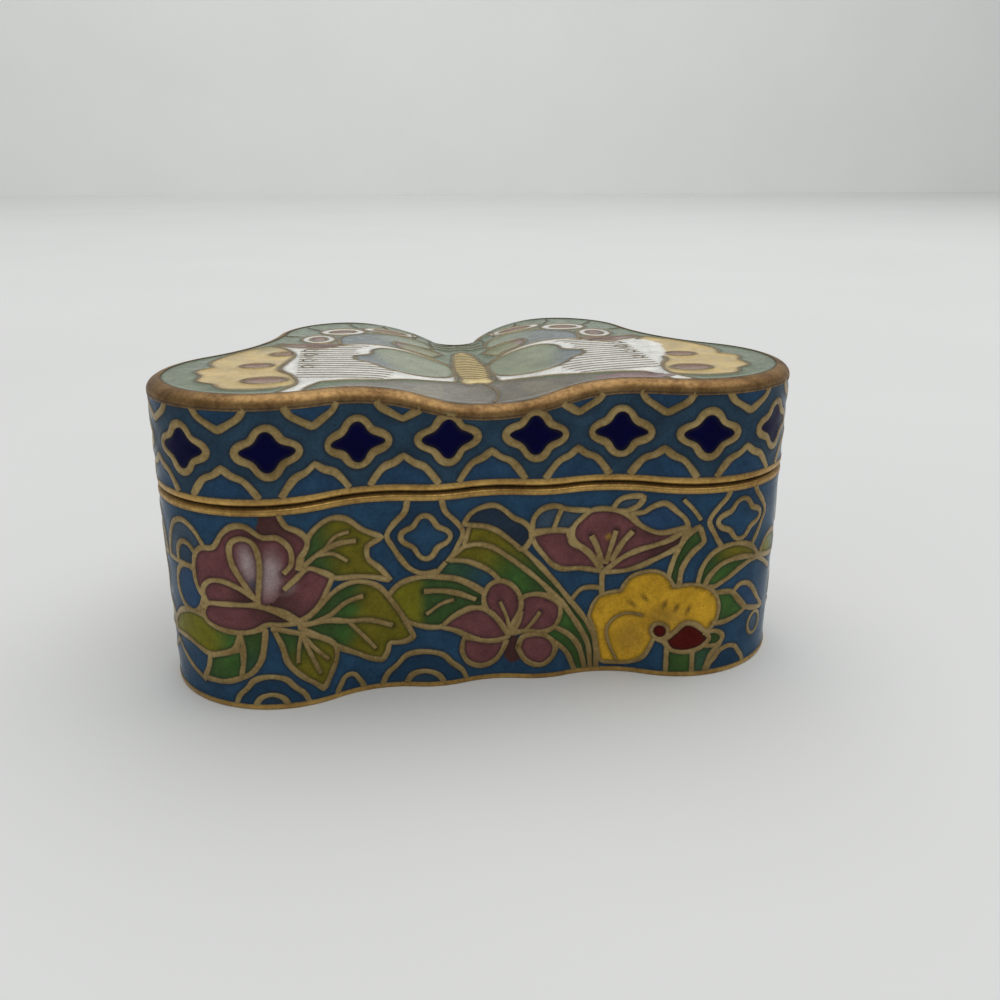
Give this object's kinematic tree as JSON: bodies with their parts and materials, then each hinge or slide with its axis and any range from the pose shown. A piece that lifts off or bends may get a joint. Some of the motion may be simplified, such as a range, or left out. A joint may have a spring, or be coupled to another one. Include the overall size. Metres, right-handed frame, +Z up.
{
  "type": "cloisonne enamel trinket box",
  "caption": "Butterfly-shaped cloisonne enamel trinket box: a hollow base and a lift-off lid, edged with gilt rims.",
  "frame": {"origin": "on the standing surface, under the middle of the bounding box", "axes": "+X along the butterfly's wingspan, to the right of its head as seen from the front; -Y towards its head; +Z up"},
  "size_m": [0.0702, 0.0448, 0.0339],
  "materials": {
    "base_enamel": "polished opaque vitreous enamel on copper, steel blue ground with flowers between gilt wires",
    "lid_enamel": "polished opaque vitreous enamel on copper, butterfly deck and quatrefoil skirt between gilt wires",
    "gilt_rim": "gilt brass, rubbed and toned"
  },
  "bodies": {
    "root": {"base_body": "base_enamel", "base_foot_rim": "gilt_rim", "base_mouth_rim": "gilt_rim", "lid_body": "lid_enamel", "lid_mouth_rim": "gilt_rim", "lid_top_rim": "gilt_rim"}
  },
  "joints": []
}
